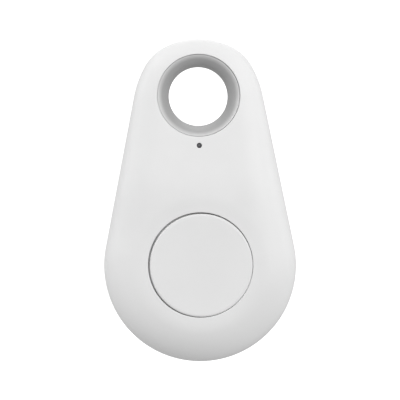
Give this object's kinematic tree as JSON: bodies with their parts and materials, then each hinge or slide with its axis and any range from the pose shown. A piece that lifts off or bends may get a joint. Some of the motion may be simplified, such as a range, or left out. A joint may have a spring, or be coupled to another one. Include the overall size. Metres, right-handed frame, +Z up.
{
  "type": "bluetooth tracker tag",
  "caption": "Teardrop tracker tag with a key-ring eyelet, a large round push button and a coin cell behind a snap-off rear cover.",
  "frame": {"origin": "centre of the eyelet bore, on the seam between the two shells", "axes": "+Z up from the button to the eyelet, -Y out of the front face along the bore, +X to the right of the front face"},
  "size_m": [0.031, 0.011, 0.0521],
  "materials": {
    "shell_plastic": "satin moulded white",
    "ring_plastic": "satin moulded white",
    "button_plastic": "satin moulded white",
    "clear_plastic": "smoked, polished",
    "board": "green solder mask",
    "screw_steel": "zinc plated",
    "switch_plastic": "black moulded",
    "switch_steel": "stamped",
    "spring_steel": "formed spring steel",
    "chip_plastic": "black epoxy",
    "crystal_can": "nickel lid",
    "antenna_ceramic": "white ceramic",
    "led_resin": "clear resin",
    "capacitor_ceramic": "tan ceramic",
    "resistor_film": "black film",
    "ferrite": "grey ferrite",
    "buzzer_plastic": "black moulded",
    "holder_plastic": "black moulded",
    "contact_metal": "gold plated spring",
    "cell_steel": "rolled stainless steel",
    "cell_nickel": null,
    "gasket_plastic": "dark nylon",
    "foam": "black cellular foam"
  },
  "bodies": {
    "front_half": {"front_shell": "shell_plastic", "eyelet_ring": "ring_plastic", "light_pipe": "clear_plastic", "pcb": "board", "pcb_screws": "screw_steel", "switch_base": "switch_plastic", "switch_cover": "switch_steel", "switch_dome": "spring_steel", "ble_chip": "chip_plastic", "crystal_main": "crystal_can", "crystal_rtc": "crystal_can", "chip_antenna": "antenna_ceramic", "status_led": "led_resin", "capacitors": "capacitor_ceramic", "resistors": "resistor_film", "inductors": "ferrite", "buzzer_base": "buzzer_plastic", "buzzer_case": "buzzer_plastic", "battery_holder": "holder_plastic", "contact_positive": "contact_metal", "contact_negative": "contact_metal"},
    "button": {"button_cap": "button_plastic"},
    "plunger": {"switch_plunger": "switch_plastic"},
    "cell": {"cell_can": "cell_steel", "cell_cap": "cell_nickel", "cell_gasket": "gasket_plastic"},
    "rear_cover": {"rear_shell": "shell_plastic", "foam_pad": "foam"}
  },
  "joints": [
    {"name": "button_press", "type": "slide", "parent": "front_half", "child": "button", "axis": [0, 1, 0], "range_m": [0, 0.00025], "stiffness_N_per_m": 6400},
    {"name": "plunger_press", "type": "slide", "parent": "front_half", "child": "plunger", "axis": [0, 1, 0], "range_m": [0, 0.00025]},
    {"name": "cell_out", "type": "slide", "parent": "front_half", "child": "cell", "axis": [0, 1, 0], "range_m": [0, 0.008]},
    {"name": "cover_off", "type": "slide", "parent": "cell", "child": "rear_cover", "axis": [0, 1, 0], "range_m": [0, 0.02]}
  ],
  "couplings": [
    {"joint": "plunger_press", "follows": "button_press", "ratio": 1}
  ]
}
